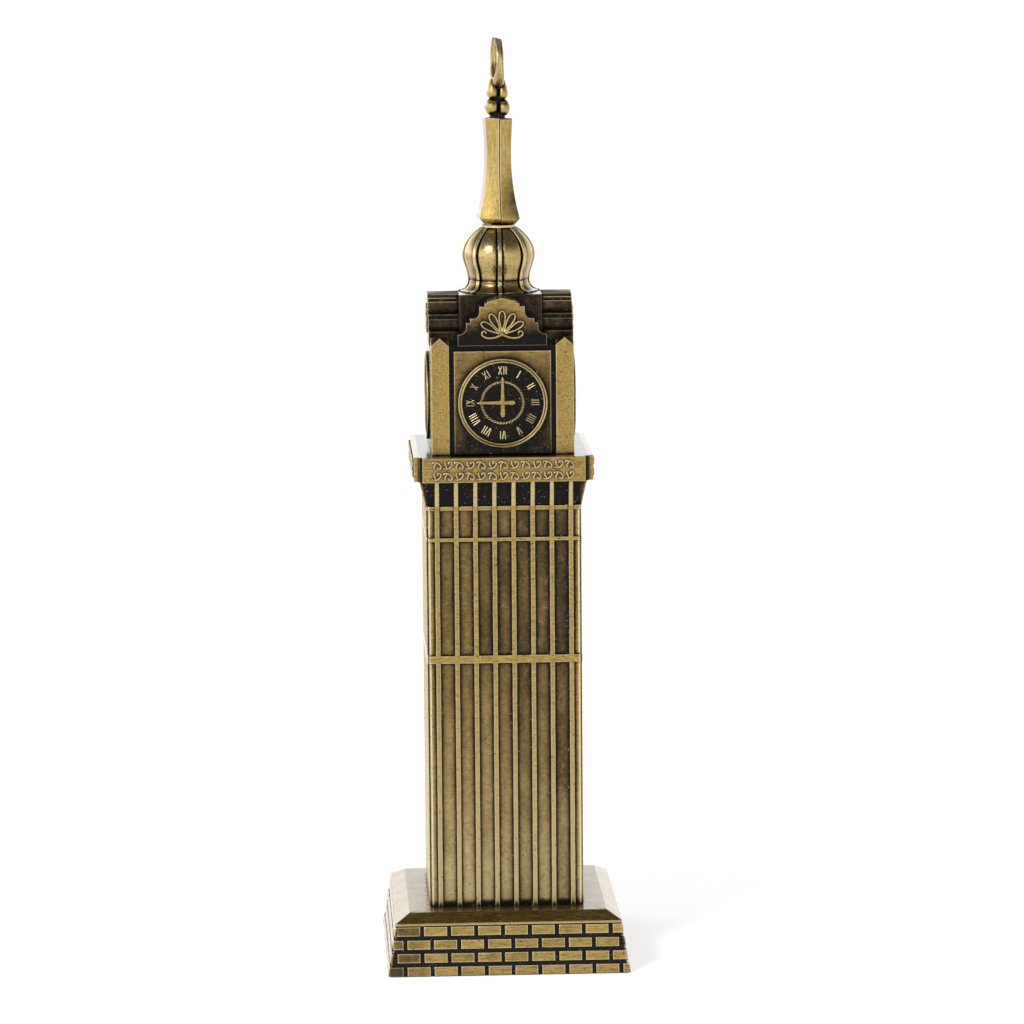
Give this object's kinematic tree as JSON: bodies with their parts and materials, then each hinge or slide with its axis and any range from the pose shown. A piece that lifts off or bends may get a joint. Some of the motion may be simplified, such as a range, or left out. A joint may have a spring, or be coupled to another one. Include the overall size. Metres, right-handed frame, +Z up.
{
  "type": "clock tower souvenir figurine",
  "caption": "Antique-brass cast metal clock tower figurine: brick plinth, ribbed square shaft, dialled clock head, gabled roof, onion dome and spire.",
  "frame": {"origin": "centre of the square foot, on the surface the figurine stands on", "axes": "+Z up the tower's axis, -Y out of the front face, +X to the right of someone looking at the front"},
  "size_m": [0.0472, 0.0472, 0.18],
  "materials": {
    "antique_brass_plinth": "antiqued plating, brushed high faces, brown patina in recesses, lacquered",
    "antique_brass_shaft": "antiqued plating, brushed high faces, brown patina in recesses, lacquered",
    "antique_brass_cornice": "antiqued plating, brushed high faces, brown patina in recesses, lacquered",
    "antique_brass_clock": "antiqued plating, brushed high faces, brown patina in recesses, lacquered",
    "antique_brass_dial": "antiqued plating, dark sunk dial with bright relief, lacquered",
    "antique_brass_roof": "antiqued plating, heavy brown patina, lacquered",
    "antique_brass_dome": "antiqued plating, burnished lobes, lacquered",
    "antique_brass_spire": "antiqued plating, brushed, lacquered",
    "zinc_plated_steel": "bright zinc plated",
    "pressed_felt": "pressed wool felt, matt"
  },
  "bodies": {
    "root": {"base_plinth": "antique_brass_plinth", "shaft_panel_front": "antique_brass_shaft", "shaft_panel_back": "antique_brass_shaft", "shaft_panel_left": "antique_brass_shaft", "shaft_panel_right": "antique_brass_shaft", "cornice_slab": "antique_brass_cornice", "clock_case": "antique_brass_clock", "dial_panel_front": "antique_brass_dial", "dial_panel_back": "antique_brass_dial", "dial_panel_left": "antique_brass_dial", "dial_panel_right": "antique_brass_dial", "roof_block": "antique_brass_roof", "dome": "antique_brass_dome", "spire_left_half": "antique_brass_spire", "spire_right_half": "antique_brass_spire", "tie_rod": "zinc_plated_steel", "rod_washer": "zinc_plated_steel", "rod_nut": "zinc_plated_steel", "felt_pad": "pressed_felt"}
  },
  "joints": []
}
